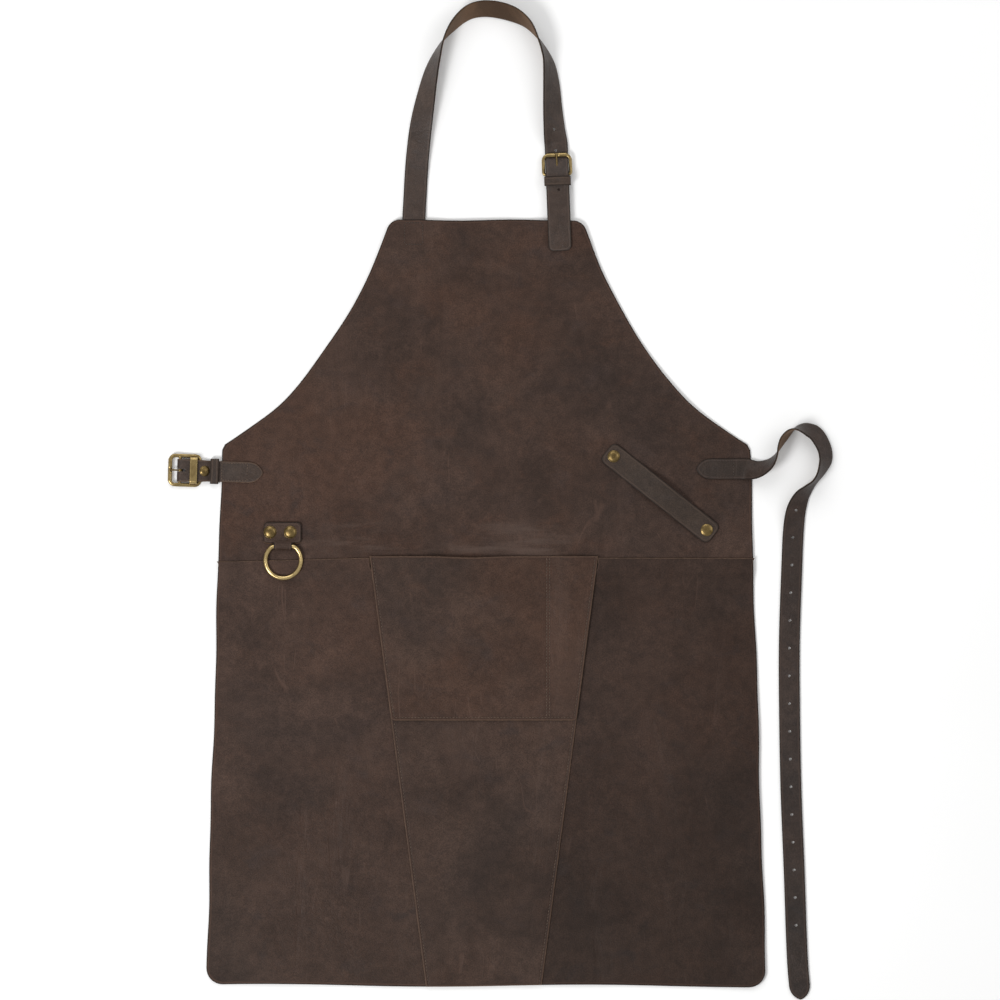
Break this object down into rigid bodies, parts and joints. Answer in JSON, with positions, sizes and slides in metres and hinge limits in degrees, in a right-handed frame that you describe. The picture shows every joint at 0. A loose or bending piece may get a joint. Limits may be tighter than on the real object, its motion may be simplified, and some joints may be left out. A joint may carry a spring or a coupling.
{
  "type": "welding apron",
  "caption": "Leather welding apron laid flat: bib with hollowed armholes, flared skirt, centre pocket with pen slot, towel strap, tool ring, buckled neck strap and punched waist strap.",
  "frame": {"origin": "centre of the whole layout, on the surface that the apron lies on", "axes": "+Y from the hem to the neck loop, +X to the waist strap's side, +Z out of the apron's front"},
  "size_m": [0.7322, 1.0993, 0.0261],
  "materials": {
    "body_leather": "waxed pull-up leather, mottled",
    "strap_leather": "smooth waxed leather, burnished edges",
    "brass": "antique brass, polished on the high spots",
    "thread": "waxed brown thread"
  },
  "bodies": {
    "apron": {"bib_panel": "body_leather", "skirt_left_panel": "body_leather", "skirt_right_panel": "body_leather", "skirt_centre_panel": "body_leather", "centre_pocket": "body_leather", "towel_strap": "strap_leather", "ring_tab": "strap_leather", "waist_tab": "strap_leather", "waist_strap": "strap_leather", "neck_strap": "strap_leather", "neck_tab": "strap_leather", "pocket_thread": "thread", "pocket_divider_thread": "thread", "centre_panel_thread": "thread", "waist_tab_thread": "thread", "waist_strap_thread": "thread", "neck_strap_thread": "thread", "neck_tab_thread": "thread", "towel_rivet_posts": "brass", "towel_rivet_caps": "brass", "ring_rivet_posts": "brass", "ring_rivet_caps": "brass", "waist_rivet_post": "brass", "waist_rivet_cap": "brass", "waist_buckle_frame": "brass", "waist_buckle_band": "brass", "neck_tab_rivet": "brass", "neck_buckle_frame": "brass"},
    "ring": {"tool_ring": "brass"},
    "waist_prong": {"waist_buckle_prong": "brass"},
    "waist_keeper_loop": {"waist_keeper": "strap_leather"},
    "neck_keeper_loop": {"neck_keeper": "strap_leather"},
    "neck_prong": {"neck_buckle_prong": "brass"}
  },
  "joints": [
    {"name": "ring_swing", "type": "hinge", "parent": "apron", "child": "ring", "pos_m": [-0.2384, -0.0512, 0.00578], "axis": [-1, 0, 0], "range_deg": [0, 140]},
    {"name": "waist_prong_swing", "type": "hinge", "parent": "apron", "child": "waist_prong", "pos_m": [-0.352, 0.0328, 0.0037], "axis": [0.0332, 0.9995, 0], "range_deg": [0, 120]},
    {"name": "waist_keeper_slide", "type": "slide", "parent": "apron", "child": "waist_keeper_loop", "axis": [0.9995, -0.0332, 0], "range_m": [0, 0.0022]},
    {"name": "neck_keeper_slide", "type": "slide", "parent": "apron", "child": "neck_keeper_loop", "axis": [0.0384, -0.9993, 0], "range_m": [0, 0.036]},
    {"name": "neck_prong_lift", "type": "hinge", "parent": "apron", "child": "neck_prong", "pos_m": [0.063, 0.3579, 0.005], "axis": [0.9993, 0.0384, 0], "range_deg": [0, 6]}
  ]
}
